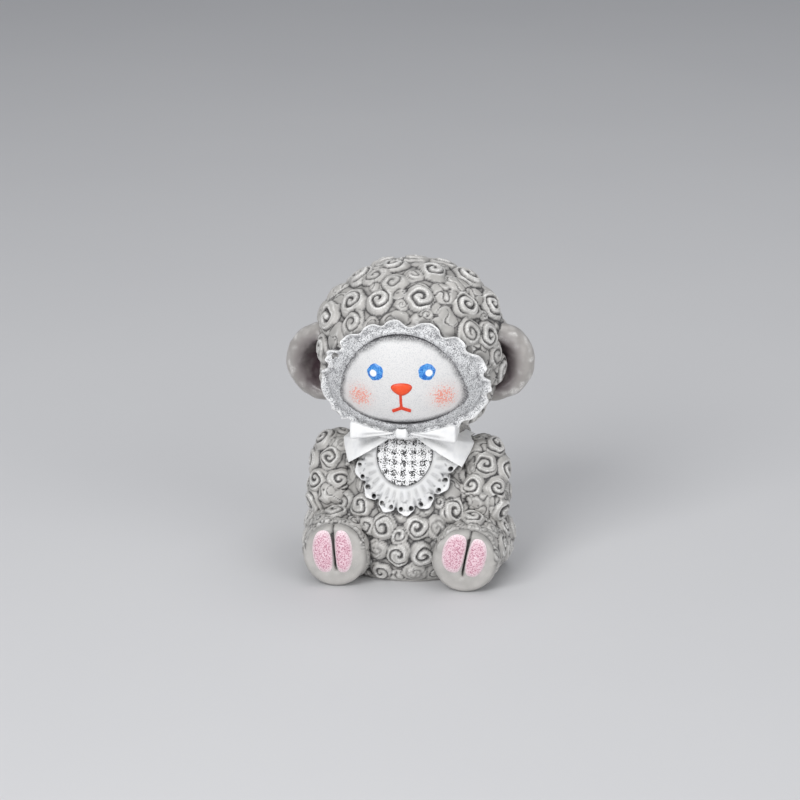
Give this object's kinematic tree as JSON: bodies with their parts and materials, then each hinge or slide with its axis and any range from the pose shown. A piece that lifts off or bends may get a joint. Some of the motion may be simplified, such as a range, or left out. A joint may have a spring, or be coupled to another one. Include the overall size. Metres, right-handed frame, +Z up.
{
  "type": "seated sheep figurine",
  "caption": "Small hand-painted resin sheep sitting with its legs forward, in a curly wool suit with a ruffled hood, cupped ears, a bow and a gingham bib edged with lace.",
  "frame": {"origin": "middle of the flat base on the floor plane, on the figure's left-right middle line", "axes": "+Z up, -Y the way the face looks, +X the sheep's own left"},
  "size_m": [0.0357, 0.0277, 0.0441],
  "materials": {
    "grey_wool": "hand-painted resin, dark wash in the curls and lighter dry-brushed edges",
    "pearl_white": "satin pearl-white paint",
    "ruffle_white": "silver-white paint with grey wash in the folds",
    "ear_grey": "grey paint, dark pinkish inside",
    "eye_blue": "blue and white gloss paint",
    "nose_orange": "orange-red paint",
    "bow_white": "white paint with grey wash in the folds",
    "gingham": "grey and white painted check",
    "lace_white": "white paint with grey wash in the holes",
    "pad_pink": "pale pink paint"
  },
  "bodies": {
    "root": {"bib_lace": "lace_white", "bib_panel": "gingham", "bow_knot": "bow_white", "bow_left_loop": "bow_white", "bow_left_tail": "bow_white", "bow_right_loop": "bow_white", "bow_right_tail": "bow_white", "face": "pearl_white", "hood": "grey_wool", "hood_curls": "grey_wool", "hood_ruffle": "ruffle_white", "left_arm": "grey_wool", "left_arm_curls": "grey_wool", "left_ear": "ear_grey", "left_eye": "eye_blue", "left_inner_toe_pad": "pad_pink", "left_leg": "grey_wool", "left_leg_curls": "grey_wool", "left_outer_toe_pad": "pad_pink", "mouth": "nose_orange", "nose": "nose_orange", "right_arm": "grey_wool", "right_arm_curls": "grey_wool", "right_ear": "ear_grey", "right_eye": "eye_blue", "right_inner_toe_pad": "pad_pink", "right_leg": "grey_wool", "right_leg_curls": "grey_wool", "right_outer_toe_pad": "pad_pink", "torso": "grey_wool", "torso_curls": "grey_wool"}
  },
  "joints": []
}
